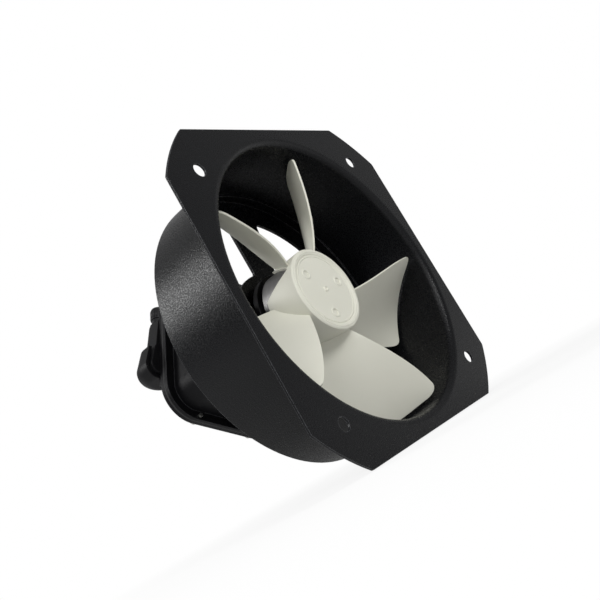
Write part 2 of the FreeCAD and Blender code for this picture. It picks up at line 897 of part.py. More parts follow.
def add_cover_holes(body, front, rear, radius):
    """Drills the four holes for the cover's screws, two in each of two opposite sides."""
    sketch = cross_sketch(body, "cover_hole_place", front)
    for x, z in cover_screw_places:
        draw_circle(sketch, x, z, radius)
    pocketed(body, "cover_holes", sketch, front, rear)


def square_pad(body, name, front, rear, half, corner):
    """Pads a rounded square from front to rear."""
    sketch = cross_sketch(body, name + "_outline", front)
    draw_outline(sketch, rounded_square(half, corner))
    return padded(body, name, sketch, front, rear)


def square_hollow(body, name, front, rear):
    """Cuts the rounded square hollow of the rear housing from front to rear."""
    sketch = cross_sketch(body, name + "_outline", front)
    draw_outline(sketch, rounded_square(box_half - S.box_wall, S.box_round - S.box_wall))
    return pocketed(body, name, sketch, front, rear)


def round_hole(body, name, x, z, radius, front, rear):
    """Cuts a round hole along the fan's axis."""
    sketch = cross_sketch(body, name + "_place", front)
    draw_circle(sketch, x, z, radius)
    return pocketed(body, name, sketch, front, rear), sketch


def build_rear_housing():
    """The rear housing: foot and neck on the bracket, a rounded square box and its rim."""
    body = new_body("rear_housing", S.rear_turn)
    floor = box_front + S.box_wall
    square_pad(body, "rim", rim_front, box_rear, rim_half, S.rim_round)
    square_pad(body, "box", box_front, rim_front, box_half, S.box_round)
    turned(body, [
        (0, S.sleeve_depth),
        (neck_radius, S.sleeve_depth),
        (neck_radius, box_front),
        (0, box_front),
    ], "neck")
    square_hollow(body, "box_hollow", floor, box_rear)
    round_hole(body, "neck_hollow", 0, 0, neck_radius - S.box_wall, foot_rear, floor)
    round_hole(body, "lead_hole", 0, 0, S.bearing_radius, S.sleeve_depth, foot_rear)
    turn = math.radians(S.rear_turn.number)
    across = Size(math.cos(turn), "cos(Sizes.rear_turn * 1 deg)") * motor_screw_at
    up = Size(math.sin(turn), "sin(Sizes.rear_turn * 1 deg)") * motor_screw_at
    radius = S.motor_screw_radius + S.screw_clearance
    hole, sketch = round_hole(body, "motor_hole", across, up, radius, S.sleeve_depth, foot_rear)
    patterned(body, "motor_holes", hole, sketch, 4)
    add_cover_holes(body, rim_front, box_rear, S.cover_screw_radius)


def build_cover():
    """The gasket and the rear cover, which carries the terminal bay and the capacitor."""
    gasket = new_body("cover_gasket", S.rear_turn)
    square_pad(gasket, "sheet", box_rear, cover_front, rim_half, S.rim_round)
    square_hollow(gasket, "opening", box_rear, cover_front)
    clear = S.cover_screw_radius + S.screw_clearance
    add_cover_holes(gasket, box_rear, cover_front, clear)
    cover = new_body("rear_cover", S.rear_turn)
    square_pad(cover, "plate", cover_front, cover_rear, rim_half, S.rim_round)
    add_cover_holes(cover, cover_front, cover_rear, clear)
    for side in (1, -1):
        name = "strap_hole_%s" % ("upper" if side > 0 else "lower")
        round_hole(cover, name, 0, strap_screw_at * side, S.cover_screw_radius, cover_front, cover_rear)
    round_hole(cover, "lead_hole", -lead_hole_at, lid_shoulder, S.lead_hole_radius, cover_front, cover_rear)
    for index, (x, z) in enumerate(lid_screws):
        name = "lid_screw_hole_%d" % index
        round_hole(cover, name, x, z, S.lid_screw_radius, cover_front, cover_rear)


def screws(label, places, count, radius, seat, tip, turn=None):
    """Equal screws with slotted pan heads, each a solid of its own. The head stands on seat
    and the shank ends at tip; the places are repeated count times around the fan's axis."""
    body = new_body(label, turn)
    head_radius = radius * S.screw_head
    to_rear = float(tip) < float(seat)
    height = radius * S.screw_head_height
    head = height if to_rear else -height
    top = seat + head
    slot_floor = seat + head / 2
    pads = []
    for name, start, end, across in (
        ("head", seat, top, head_radius),
        ("shank", tip, seat, radius),
    ):
        front, rear = (start, end) if float(start) < float(end) else (end, start)
        sketch = cross_sketch(body, name + "_outline", front)
        for x, z in places:
            draw_circle(sketch, x, z, across)
        pads.append(padded(body, name, sketch, front, rear))
    front, rear = (slot_floor, top) if to_rear else (top, slot_floor)
    sketch = cross_sketch(body, "slot_outline", front)
    for x, z in places:
        draw_box(sketch, x, z, radius * 2 * S.screw_head_height, radius * S.screw_slot)
    slot = pocketed(body, "slot", sketch, front, rear)
    if count > 1:
        pattern = patterned(body, "repeated", pads[0], sketch, count)
        pattern.Originals = pads + [slot]


def draw_box(sketch, x, y, half, half_up):
    """Draws an upright rectangle about a centre."""
    x, y = as_size(x), as_size(y)
    draw_outline(sketch, [
        (x + half, y + half_up),
        (x - half, y + half_up),
        (x - half, y - half_up),
        (x + half, y - half_up),
    ])


def side_sketch(body, name, offset):
    """A sketch across the X axis, at the place offset along it: x is Y and y is Z."""
    return new_sketch(body, name, "YZ_Plane", as_size(offset))


def build_capacitor():
    """The motor's run capacitor, strapped to the inside of the rear cover."""
    body = new_body("capacitor", S.rear_turn)
    sketch = side_sketch(body, "can_outline", -S.capacitor_length / 2)
    draw_circle(sketch, capacitor_at, 0, S.capacitor_radius)
    can = body.newObject("PartDesign::Pad", "can")
    can.Profile = sketch
    can.setExpression("Length", S.capacitor_length.text)
    strap = new_body("capacitor_strap", S.rear_turn)
    sketch = side_sketch(strap, "strap_outline", -S.strap_width / 2)
    inner = S.capacitor_radius + S.seat_gap
    outer = inner + S.strap_gauge
    foot = cover_front - S.strap_gauge
    toe = outer + S.strap_width / 2
    centre = (capacitor_at, 0)
    draw_outline(sketch, [
        (cover_front, toe),
        (foot, toe),
        (foot, outer),
        (capacitor_at, outer),
        (capacitor_at - outer, 0, outer, centre),
        (capacitor_at, -outer, outer, centre),
        (foot, -outer),
        (foot, -toe),
        (cover_front, -toe),
        (cover_front, -inner),
        (capacitor_at, -inner),
        (capacitor_at - inner, 0, inner, centre),
        (capacitor_at, inner, inner, centre),
        (cover_front, inner),
    ])
    band = strap.newObject("PartDesign::Pad", "band")
    band.Profile = sketch
    band.setExpression("Length", S.strap_width.text)
    for side in (1, -1):
        name = "screw_hole_%s" % ("upper" if side > 0 else "lower")
        radius = S.cover_screw_radius + S.screw_clearance
        round_hole(strap, name, 0, strap_screw_at * side, radius, foot, cover_front)


def lid_outline(inset, raised=0):
    """The lid's outline along the cover, moved inwards by inset and up at its open end."""
    out = -S.bay_place
    top = S.lid_top + raised
    half_top = S.lid_top_radius - inset
    half = S.lid_radius - inset
    corner = S.lid_round - inset
    foot = lid_shoulder - corner
    return [
        (out + half_top, top),
        (out - half_top, top),
        (out - half, lid_shoulder),
        (out - lid_flat, foot, corner, (out - lid_flat, lid_shoulder)),
        (out + lid_flat, foot),
        (out + half, lid_shoulder, corner, (out + lid_flat, lid_shoulder)),
    ]


def hood_outline(inset):
    """The hood's outline along the cover, moved inwards by inset."""
    out = -S.bay_place
    low = S.lid_top - S.hood_overlap
    return [
        (out + S.hood_top_radius - inset, S.hood_top - inset),
        (out - S.hood_top_radius + inset, S.hood_top - inset),
        (out - S.hood_radius + inset, low),
        (out + S.hood_radius - inset, low),
    ]


def hood_side(inset):
    """Half the hood's outline, from its upright axis outwards."""
    out = -S.bay_place
    return [(out, S.hood_top - inset)] + hood_outline(inset)[:1] + hood_outline(inset)[3:] + [
        (out, S.lid_top - S.hood_overlap),
    ]


def build_terminal_box():
    """The terminal box: low walls on the rear cover under a tapered hood with the gland's hole."""
    box = new_body("terminal_box", S.rear_turn)
    walls = cross_sketch(box, "wall_outline", cover_rear)
    draw_outline(walls, lid_outline(hood_wall_inset))
    padded(box, "walls", walls, cover_rear, gland_at)
    foot = cross_sketch(box, "hood_foot_outline", cover_rear)
    draw_outline(foot, hood_outline(Size(0)))
    padded(box, "hood_foot", foot, cover_rear, gland_at)
    crown = cross_sketch(box, "hood_crown_outline", gland_at)
    spun(box, "hood_crown", crown, -S.bay_place, hood_side(Size(0)))
    hollow = cross_sketch(box, "hollow_outline", bay_floor)
    draw_outline(hollow, lid_outline(hood_wall_inset + S.bay_wall))
    pocketed(box, "hollow", hollow, bay_floor, gland_at)
    hood_hollow = cross_sketch(box, "hood_hollow_outline", bay_floor)
    draw_outline(hood_hollow, hood_outline(S.bay_wall))
    pocketed(box, "hood_hollow", hood_hollow, bay_floor, gland_at)
    dome = cross_sketch(box, "hood_dome_outline", gland_at)
    spun(box, "hood_dome", dome, -S.bay_place, hood_side(S.bay_wall), "PartDesign::Groove")
    round_hole(box, "lead_hole", -lead_hole_at, lid_shoulder, S.lead_hole_radius, cover_rear, bay_floor)
    port = new_sketch(box, "port_outline", "XY_Plane", S.hood_top - S.bay_wall)
    draw_circle(port, -S.bay_place, gland_at, gland_thread_radius)
    cut = box.newObject("PartDesign::Pocket", "port")
    cut.Profile = port
    cut.Reversed = True
    cut.setExpression("Length", S.bay_wall.text)


def build_terminal_cover():
    """The lid: a domed cap over the terminal box's lower part, with two screwed tabs."""
    lid = new_body("terminal_cover", S.rear_turn)
    out = -S.bay_place
    wall = S.lid_gauge
    dome = cross_sketch(lid, "dome_outline", gland_at)
    spun(lid, "dome", dome, out, [
        (out + S.lid_top_radius - wall, S.lid_top),
        (out + S.lid_top_radius, S.lid_top),
        (out + S.lid_radius, lid_shoulder),
        (out + lid_flat, lid_foot, S.lid_round, (out + lid_flat, lid_shoulder)),
        (out, lid_foot),
        (out, lid_foot + wall),
        (out + lid_flat, lid_foot + wall),
        (out + S.lid_radius - wall, lid_shoulder, S.lid_round - wall, (out + lid_flat, lid_shoulder)),
    ])
    halving = cross_sketch(lid, "halving_outline", gland_at - S.lid_radius)
    draw_box(halving, out, lid_shoulder, S.lid_radius * 2, S.lid_radius * 2)
    pocketed(lid, "halving", halving, gland_at - S.lid_radius, gland_at)
    skirt = cross_sketch(lid, "skirt_outline", lid_front)
    draw_outline(skirt, lid_outline(Size(0)))
    padded(lid, "skirt", skirt, lid_front, gland_at)
    hollow = cross_sketch(lid, "hollow_outline", lid_front)
    draw_outline(hollow, lid_outline(wall, wall))
    pocketed(lid, "hollow", hollow, lid_front, gland_at)
    tabs = cross_sketch(lid, "tab_outline", cover_rear)
    half = (S.tab_length + wall / 2) / 2
    draw_box(tabs, out, lid_foot + wall / 2 - half, S.tab_width / 2, half)
    draw_box(tabs, out + S.lid_radius - wall / 2 + half, tab_up, half, S.tab_width / 2)
    padded(lid, "tabs", tabs, cover_rear, tab_rear)
    holes = cross_sketch(lid, "screw_hole_outline", cover_rear)
    for x, z in lid_screws:
        draw_circle(holes, x, z, S.lid_screw_radius + S.screw_clearance)
    pocketed(lid, "screw_holes", holes, cover_rear, tab_rear)
    screws("terminal_cover_screws", lid_screws, 1, S.lid_screw_radius, tab_rear, cover_front, S.rear_turn)


def build_terminal_block():
    """The terminal block on the box's floor: one moulding with a screw for each pole."""
    block = new_body("terminal_block", S.rear_turn)
    top = bay_floor + S.block_height
    half_length = S.block_pitch * S.pole_count / 2
    middle = lid_shoulder - S.block_foot + half_length
    across = -(S.bay_place + S.block_shift)
    sketch = cross_sketch(block, "block_outline", bay_floor)
    draw_box(sketch, across, middle, S.block_width / 2, half_length)
    padded(block, "block", sketch, bay_floor, top)
    poles = int(float(S.pole_count))
    places = [(across, middle + S.block_pitch * (pole - (poles - 1) / 2)) for pole in range(poles)]
    wells = cross_sketch(block, "well_outline", top - S.clamp_depth)
    for x, z in places:
        draw_circle(wells, x, z, S.clamp_radius)
    pocketed(block, "wells", wells, top - S.clamp_depth, top)
    clamps = new_body("clamp_screws", S.rear_turn)
    seat = top - S.clamp_depth
    clamp_top = seat + S.clamp_gauge
    heads = cross_sketch(clamps, "head_outline", seat)
    for x, z in places:
        draw_circle(heads, x, z, S.clamp_radius)
    padded(clamps, "heads", heads, seat, clamp_top)
    slots = cross_sketch(clamps, "slot_outline", clamp_top - S.clamp_gauge / 4)
    for x, z in places:
        draw_box(slots, x, z, S.clamp_radius * S.screw_head_height, S.clamp_radius * S.screw_slot)
    pocketed(clamps, "slots", slots, clamp_top - S.clamp_gauge / 4, clamp_top)


def spun(body, name, sketch, axis_x, corners, kind="PartDesign::Revolution"):
    """Revolves an outline about an upright line of its sketch at axis_x, as a solid or a cut."""
    draw_outline(sketch, corners)
    heights = [as_size(corner[1]) for corner in corners]
    low = min(heights, key=float)
    high = max(heights, key=float)
    foot = FreeCAD.Vector(float(axis_x), float(low), 0)
    top = FreeCAD.Vector(float(axis_x), float(high), 0)
    line = sketch.addGeometry(Part.LineSegment(foot, top), True)
    for point, height in ((1, low), (2, high)):
        tie(sketch, "DistanceX", line, point, as_size(axis_x))
        tie(sketch, "DistanceY", line, point, height)
    feature = body.newObject(kind, name)
    feature.Profile = sketch
    feature.ReferenceAxis = (sketch, ["Axis0"])
    feature.Angle = 360
    return feature


def build_gland():
    """The cable gland in the hood's upper end: body, seal and domed nut."""
    out = -S.bay_place
    wall = S.hood_top
    collar_top = wall + S.gland_collar
    neck_top = collar_top + S.gland_length
    nut_foot = neck_top - S.gland_overlap
    nut_top = nut_foot + S.gland_nut_length
    seal_top = neck_top + S.gland_seal_gauge
    tail = wall - S.bay_wall * 2
    bore = S.gland_hole_radius
    body = new_body("gland_body", S.rear_turn)
    sketch = cross_sketch(body, "body_outline", gland_at)
    spun(body, "body", sketch, out, [
        (out + bore, tail),
        (out + gland_thread_radius, tail),
        (out + gland_thread_radius, wall),
        (out + S.gland_collar_radius, wall),
        (out + S.gland_collar_radius, collar_top),
        (out + S.gland_radius, collar_top),
        (out + S.gland_radius, nut_foot),
        (out + gland_thread_radius, nut_foot),
        (out + gland_thread_radius, neck_top),
        (out + bore, neck_top),
    ])
    seal = new_body("gland_seal", S.rear_turn)
    sketch = cross_sketch(seal, "seal_outline", gland_at)
    spun(seal, "seal", sketch, out, [
        (out + bore, neck_top),
        (out + gland_thread_radius, neck_top),
        (out + gland_thread_radius, seal_top),
        (out + bore, seal_top),
    ])
    nut = new_body("gland_nut", S.rear_turn)
    sketch = cross_sketch(nut, "nut_outline", gland_at)
    crown = nut_top - S.gland_dome
    shoulder = S.gland_nut_radius - S.gland_dome
    spun(nut, "nut", sketch, out, [
        (out + gland_thread_radius, nut_foot),
        (out + S.gland_nut_radius, nut_foot),
        (out + S.gland_nut_radius, crown),
        (out + shoulder, nut_top, S.gland_dome, (out + shoulder, crown)),
        (out + bore, nut_top),
        (out + bore, seal_top),
        (out + gland_thread_radius, seal_top),
    ])


def pieces():
    """The finished pieces of the document."""
    return [item for item in doc.Objects if item.TypeId in ("PartDesign::Body", "Part::Feature")]


build_housing()
build_bracket()
build_motor_flange()
build_stator()
build_windings()
build_bearing("front_bearing", front_bearing_front)
build_bearing("rear_bearing", disc_front)
build_shaft()
build_rotor()
build_impeller()
build_rear_housing()
build_cover()
build_capacitor()
build_terminal_box()
build_terminal_cover()
build_terminal_block()
build_gland()
motor_tip = disc_front + S.seat_gap
screws("motor_screws", [(motor_screw_at, 0)], 4, S.motor_screw_radius, foot_rear, motor_tip)
cover_tip = rim_front - S.cover_screw_radius
screws("cover_screws", cover_screw_places, 1, S.cover_screw_radius, cover_rear, cover_tip, S.rear_turn)
strap_seat = cover_front - S.strap_gauge
strap_places = [(0, strap_screw_at), (0, -strap_screw_at)]
screws("strap_screws", strap_places, 1, S.cover_screw_radius, strap_seat, cover_rear, S.rear_turn)
doc.recompute()

for item in doc.Objects:
    if "Invalid" in item.State or "Error" in item.State:
        raise RuntimeError("%s of %s failed" % (item.Label, item.getParent().Label if item.getParent() else ""))
os.makedirs("parts", exist_ok=True)
for item in pieces():
    if item.Shape.isNull() or not item.Shape.isValid():
        raise RuntimeError("%s has no valid shape" % item.Label)
    item.Shape.exportStep("parts/%s.step" % item.Label)
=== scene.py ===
import math
import bpy
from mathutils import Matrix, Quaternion, Vector


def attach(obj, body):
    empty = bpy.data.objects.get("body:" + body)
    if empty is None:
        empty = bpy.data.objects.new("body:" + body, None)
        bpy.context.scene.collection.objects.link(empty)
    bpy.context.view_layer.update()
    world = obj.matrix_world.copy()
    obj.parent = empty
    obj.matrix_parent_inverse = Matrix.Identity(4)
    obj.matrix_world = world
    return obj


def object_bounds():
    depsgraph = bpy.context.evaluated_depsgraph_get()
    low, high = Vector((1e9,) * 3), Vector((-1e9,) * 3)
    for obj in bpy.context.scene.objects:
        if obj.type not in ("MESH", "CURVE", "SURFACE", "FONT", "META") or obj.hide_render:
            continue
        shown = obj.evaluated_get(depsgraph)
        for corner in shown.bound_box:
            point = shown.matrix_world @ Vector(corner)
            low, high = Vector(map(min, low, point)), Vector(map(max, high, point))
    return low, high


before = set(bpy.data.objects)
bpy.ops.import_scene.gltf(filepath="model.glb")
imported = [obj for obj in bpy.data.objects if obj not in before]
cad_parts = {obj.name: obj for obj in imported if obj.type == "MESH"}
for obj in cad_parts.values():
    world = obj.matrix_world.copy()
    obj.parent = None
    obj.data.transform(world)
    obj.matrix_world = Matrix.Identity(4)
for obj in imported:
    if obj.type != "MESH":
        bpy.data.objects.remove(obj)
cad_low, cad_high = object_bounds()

# Housing: a square flange, a rolled inlet and a deep sleeve, drawn from one steel sheet and
# powder coated in a fine-grained satin black. Four plain holes near the corners take the
# appliance's studs.

COAT_DARK = (0.0026, 0.0028, 0.0034, 1)
COAT_PALE = (0.0058, 0.0061, 0.0072, 1)
# Painted highlight: the paler colour that the coat takes along its sharp edges
COAT_EDGE_HIGHLIGHT = (0.14, 0.143, 0.152, 1)
# The share of the painted edge highlight that reaches between the coat's grains
LEAST_EDGE_HIGHLIGHT = 0.3


class Wire:
    """A node's socket that can be written in sums and products."""

    def __init__(self, board, socket):
        self.board = board
        self.socket = socket

    def math(self, operation, *items):
        """A Math node on the given wires and numbers."""
        node = self.board.node("ShaderNodeMath", {"operation": operation}, dict(enumerate(items)))
        return Wire(self.board, node.outputs[0])

    def __add__(self, other):
        return self.math("ADD", self, other)

    def __radd__(self, other):
        return self.math("ADD", other, self)

    def __sub__(self, other):
        return self.math("SUBTRACT", self, other)

    def __rsub__(self, other):
        return self.math("SUBTRACT", other, self)

    def __mul__(self, other):
        return self.math("MULTIPLY", self, other)

    def __rmul__(self, other):
        return self.math("MULTIPLY", other, self)

    def each(self, operation):
        """A function of this one value, such as SQRT or FRACT."""
        return self.math(operation, self)

    def fade(self, low, high):
        """0 below low, 1 above high, and a smooth rise between them."""
        settings = {"interpolation_type": "SMOOTHSTEP"}
        sockets = {"Value": self, "From Min": low, "From Max": high}
        return Wire(self.board, self.board.node("ShaderNodeMapRange", settings, sockets).outputs[0])


class Board:
    """A node tree, and the one way in which nodes are added to it."""

    def __init__(self, tree):
        self.tree = tree

    def node(self, kind, settings=None, sockets=None):
        """Adds a node: its settings first, then the values and links of its sockets."""
        node = self.tree.nodes.new(kind)
        for key, item in (settings or {}).items():
            setattr(node, key, item)
        for key, item in (sockets or {}).items():
            self.plug(item, node.inputs[key])
        return node

    def plug(self, item, socket):
        """Links a wire to a socket, or sets the socket to a value."""
        if isinstance(item, Wire):
            self.tree.links.new(item.socket, socket)
        else:
            socket.default_value = item

    def there(self, kind):
        """The node of a type that the new tree came with."""
        return next(node for node in self.tree.nodes if node.type == kind)


class Finish(Board):
    """A surface finish: one Principled shader and the nodes that feed it."""

    def __init__(self, name, **constants):
        self.material = bpy.data.materials.new(name)
        self.material.use_nodes = True
        super().__init__(self.material.node_tree)
        self.shader = self.there("BSDF_PRINCIPLED")
        self.feed(**constants)
        self.place = Wire(self, self.node("ShaderNodeTexCoord").outputs["Object"])
        apart = self.node("ShaderNodeSeparateXYZ", {}, {"Vector": self.place})
        self.x, self.y, self.z = (Wire(self, out) for out in apart.outputs)

    def feed(self, **items):
        """Sets the shader's sockets, such as base_color, to wires or numbers."""
        for key, item in items.items():
            name = key.replace("_", " ").title().replace("Ior", "IOR")
            self.plug(item, self.shader.inputs[name])
        return self.material

    def noise(self, per_metre, detail=2.0, roughness=0.5, vector=None):
        """Soft noise from 0 to 1, with so many bumps to the metre."""
        sockets = {
            "Vector": vector or self.place,
            "Scale": per_metre,
            "Detail": detail,
            "Roughness": roughness,
        }
        return Wire(self, self.node("ShaderNodeTexNoise", {}, sockets).outputs[0])

    def mix(self, share, first, second):
        """A colour between two colours, which are sockets 6 and 7 of the Mix node."""
        sockets = {0: share, 6: first, 7: second}
        return Wire(self, self.node("ShaderNodeMix", {"data_type": "RGBA"}, sockets).outputs[2])

    def rounded(self, radius):
        """A normal that rounds sharp edges."""
        bevel = self.node("ShaderNodeBevel", {"samples": 6}, {"Radius": radius})
        return Wire(self, bevel.outputs[0])

    def bump(self, height, distance, strength, corner):
        """A normal from a height of 0 to 1, distance metres high, with corners rounded too."""
        sockets = {
            "Height": height,
            "Distance": distance,
            "Strength": strength,
            "Normal": self.rounded(corner),
        }
        return Wire(self, self.node("ShaderNodeBump", {}, sockets).outputs[0])

    def edges(self, radius, least_lean=0.06, full_lean=0.32):
        """1 along sharp edges, 0 on the open surface, from how far a rounded normal leans over."""
        flat = Wire(self, self.node("ShaderNodeNewGeometry").outputs["Normal"])
        sockets = {0: self.rounded(radius), 1: flat}
        both = self.node("ShaderNodeVectorMath", {"operation": "DOT_PRODUCT"}, sockets)
        return (1 - Wire(self, both.outputs["Value"])).fade(least_lean, full_lean)


def dress(node, material):
    """Gives a CAD node's object its finish."""
    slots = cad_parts[node].data.materials
    slots.clear()
    slots.append(material)


def powder_coat():
    """Satin black powder coat: sandy, with a sparkle of gloss spots, and a painted highlight on its
    edges.
    """
    coat = Finish("powder_coat", specular_ior_level=0.16)
    sand = coat.noise(per_metre=1300, detail=1.0)
    speck = coat.noise(per_metre=1200, detail=0.0).fade(0.3, 0.7)
    broad = coat.noise(per_metre=26)
    dark = coat.mix(broad * 0.6 + sand * 0.4, COAT_DARK, COAT_PALE)
    # Painted highlight: the colour turns paler along sharp edges
    colour = coat.mix(coat.edges(radius=0.0009) * (LEAST_EDGE_HIGHLIGHT + sand), dark, COAT_EDGE_HIGHLIGHT)
    normal = coat.bump(sand, distance=0.0002, strength=0.9, corner=0.0006)
    return coat.feed(base_color=colour, roughness=0.215 + speck * 0.18, normal=normal)


coated = powder_coat()
dress("housing", coated)

# Motor bracket: a dished plate pressed into the sleeve's rear and coated with the housing. Air
# leaves through the windows between its four broad arms.

dress("motor_bracket", coated)

# Stator: eight electrical-steel teeth with nylon insulators and enamelled copper coils, on a
# black cast flange that the bracket carries. Four short screws hold the flange.

CASTING_DARK = (0.0030, 0.0030, 0.0036, 1)
CASTING_PALE = (0.0070, 0.0070, 0.0080, 1)
# Painted highlight: the paler colour that the casting takes along its sharp edges
CASTING_EDGE_HIGHLIGHT = (0.10, 0.102, 0.11, 1)
SHEET_DARK = (0.34, 0.33, 0.32, 1)
SHEET_PALE = (0.46, 0.45, 0.43, 1)
SHEET_GAP = (0.055, 0.045, 0.035, 1)
SHEETS_PER_METRE = 2000
# Painted shade for the grooves between the copper's turns
COPPER_GROOVE_SHADE = (0.20, 0.065, 0.025, 1)
COPPER_DEEP = (0.60, 0.245, 0.105, 1)
COPPER_BRIGHT = (0.72, 0.32, 0.15, 1)
TURNS_PER_METRE = 1600
NYLON_DEEP = (0.63, 0.60, 0.50, 1)
NYLON_PALE = (0.73, 0.70, 0.61, 1)
ZINC_BLUISH = (0.58, 0.60, 0.62, 1)
ZINC_STRAW = (0.68, 0.66, 0.58, 1)


def black_casting():
    """Semi-gloss black paint over a casting, with the casting's soft skin under it and a painted
    highlight on its edges.
    """
    cast = Finish("black_casting", specular_ior_level=0.08)
    skin = cast.noise(per_metre=420, detail=3.0, roughness=0.6)
    broad = cast.noise(per_metre=45)
    dark = cast.mix(broad, CASTING_DARK, CASTING_PALE)
    # Painted highlight: the colour turns paler along sharp edges
    colour = cast.mix(cast.edges(radius=0.0008) * (LEAST_EDGE_HIGHLIGHT + skin), dark, CASTING_EDGE_HIGHLIGHT)
    normal = cast.bump(skin, distance=0.0003, strength=0.7, corner=0.0008)
    return cast.feed(base_color=colour, roughness=0.40 + broad * 0.14, normal=normal)


def laminations():
    """Stacked and varnished electrical-steel sheets, seen as fine lines round the stack."""
    stack = Finish("laminated_steel", metallic=1.0)
    sheet = (stack.y * SHEETS_PER_METRE).each("FRACT")
    gap = 1 - sheet.fade(0.0, 0.16) * (1 - sheet.fade(0.86, 1.0))
    stain = stack.noise(per_metre=90, detail=3.0)
    colour = stack.mix(gap * 0.75, stack.mix(stain, SHEET_DARK, SHEET_PALE), SHEET_GAP)
    roughness = 0.34 + stain * 0.2 + gap * 0.2
    normal = stack.bump(1 - gap, distance=0.00008, strength=0.8, corner=0.0003)
    return stack.feed(base_color=colour, roughness=roughness, normal=normal)


def enamelled_copper():
    """Copper wire in clear enamel, wound in close turns, with painted shade in the grooves between
    them.
    """
    copper = Finish("enamelled_copper", metallic=1.0, coat_roughness=0.15)
    turn = (copper.y * TURNS_PER_METRE).each("FRACT")
    crown = turn.fade(0.0, 0.5) * (1 - turn.fade(0.5, 1.0))
    tint = copper.noise(per_metre=70)
    # Painted shade: the copper turns dark in the grooves between turns
    colour = copper.mix(crown, COPPER_GROOVE_SHADE, copper.mix(tint, COPPER_DEEP, COPPER_BRIGHT))
    normal = copper.bump(crown, distance=0.00025, strength=0.9, corner=0.0005)
    copper.feed(base_color=colour, roughness=0.36 - crown * 0.12)
    return copper.feed(normal=normal, coat_weight=tint * 0.5)


def natural_nylon():
    """Natural nylon: milky, a little uneven, with the mould's faint satin."""
    milky = Finish("natural_nylon", specular_ior_level=0.45)
    cloud = milky.noise(per_metre=120, detail=3.0)
    satin = milky.noise(per_metre=2200)
    colour = milky.mix(cloud, NYLON_DEEP, NYLON_PALE)
    normal = milky.bump(satin, distance=0.00004, strength=0.5, corner=0.0003)
    return milky.feed(base_color=colour, roughness=0.36 + cloud * 0.16, normal=normal)


def zinc_plate():
    """Bright zinc on a small screw, with a thin bluish and straw-coloured passivation."""
    zinc = Finish("zinc_plate", metallic=1.0)
    tint = zinc.noise(per_metre=260)
    wear = zinc.noise(per_metre=1500, detail=3.0)
    colour = zinc.mix(tint, ZINC_BLUISH, ZINC_STRAW)
    normal = zinc.bump(wear, distance=0.00004, strength=0.5, corner=0.0002)
    return zinc.feed(base_color=colour, roughness=0.22 + wear * 0.2, normal=normal)


castings = black_casting()
nylon = natural_nylon()
plated = zinc_plate()
sheets = laminations()
dress("motor_flange", castings)
dress("stator_core", sheets)
dress("stator_insulators", nylon)
dress("windings", enamelled_copper())
dress("motor_screws", plated)

# Shaft and bearings: a ground shaft turns in two ball bearings in the motor flange's tube. A
# circlip and a wavy washer take up the end play.


def grey(level, warm=0.0):
    """A near-neutral colour, warm above 0."""
    return (level * (1 + warm), level, level * (1 - warm), 1)


def turned_steel(name, low, high, roughness, lines):
    """Bare steel with the fine lines that turning or grinding leaves round the fan's axis."""
    steel = Finish(name, metallic=1.0)
    radius = (steel.x * steel.x + steel.z * steel.z).each("SQRT")
    along = steel.node("ShaderNodeCombineXYZ", {}, {"X": radius, "Y": steel.y})
    across = Wire(steel, along.outputs[0])
    track = steel.noise(per_metre=lines, detail=3.0, roughness=0.7, vector=across)
    cloud = steel.noise(per_metre=55)
    colour = steel.mix(track * 0.6 + cloud * 0.4, low, high)
    normal = steel.bump(track, distance=0.00003, strength=0.6, corner=0.0003)
    return steel.feed(base_color=colour, roughness=roughness + track * 0.14, normal=normal)


ground = turned_steel("ground_steel", grey(0.50), grey(0.66), roughness=0.12, lines=5000)
spring = turned_steel(
    "spring_steel", grey(0.14, warm=0.04), grey(0.22, warm=0.04), roughness=0.26, lines=3000
)
dress("shaft", ground)
for bearing in ("front_bearing", "rear_bearing"):
    for part in ("outer_ring", "inner_ring", "balls"):
        dress(f"{bearing}_{part}", ground)
dress("circlip", spring)
dress("preload_washer", spring)

# Rotor: a cup drawn from steel sheet and pressed on the shaft. Inside it sits a laminated ring
# with cast aluminium bars and end rings. The cup shows behind the impeller's cap.

ALUMINIUM_DARK = (0.50, 0.51, 0.52, 1)
ALUMINIUM_PALE = (0.66, 0.67, 0.68, 1)


def cast_aluminium():
    """Pressure-cast aluminium, dull and slightly grainy."""
    metal = Finish("cast_aluminium", metallic=1.0)
    skin = metal.noise(per_metre=600, detail=3.0, roughness=0.6)
    colour = metal.mix(skin, ALUMINIUM_DARK, ALUMINIUM_PALE)
    normal = metal.bump(skin, distance=0.00012, strength=0.7, corner=0.0004)
    return metal.feed(base_color=colour, roughness=0.38 + skin * 0.2, normal=normal)


drawn = turned_steel(
    "drawn_steel", grey(0.13, warm=0.01), grey(0.26, warm=0.015), roughness=0.42, lines=900
)
dress("rotor_cup", drawn)
dress("rotor_core", sheets)
dress("rotor_end_rings", cast_aluminium())

# Impeller: one warm white moulding pressed over the cup, with a flat round cap, a skirt cut to
# saw teeth behind the blades, and five twisted blades set at uneven steps. The mould leaves low
# rings on the cap: round its rim, round the three marks and round the gate.

WHITE_DEEP = (0.715, 0.712, 0.614, 1)
WHITE_PALE = (0.775, 0.770, 0.680, 1)
CAP_FACE = 0.0207
CAP_RIM_FACE = 0.0198
MARK_AT = 0.0175
MARK_TURNS = (10, 131, 257)
# Each ring's centre (distance out, angle), radius, half width, rise and the face below it
GATE_RING = (0, 0, 0.0014, 0.0007, 0.00075, CAP_FACE)
MARK_RINGS = tuple((MARK_AT, turn, 0.0031, 0.0008, 0.00048, CAP_FACE) for turn in MARK_TURNS)
FACE_RING = (0, 0, 0.0249, 0.0006, 0.00045, CAP_FACE)
RIM_RING = (0, 0, 0.0282, 0.0007, 0.00034, CAP_RIM_FACE)
# A ring's section, in half widths across and rises up
RING_SECTION = ((-1, 0.0), (-0.6, 0.7), (0, 1.0), (0.6, 0.7), (1, 0.0), (1, -0.6), (-1, -0.6))
RING_STEPS = 72


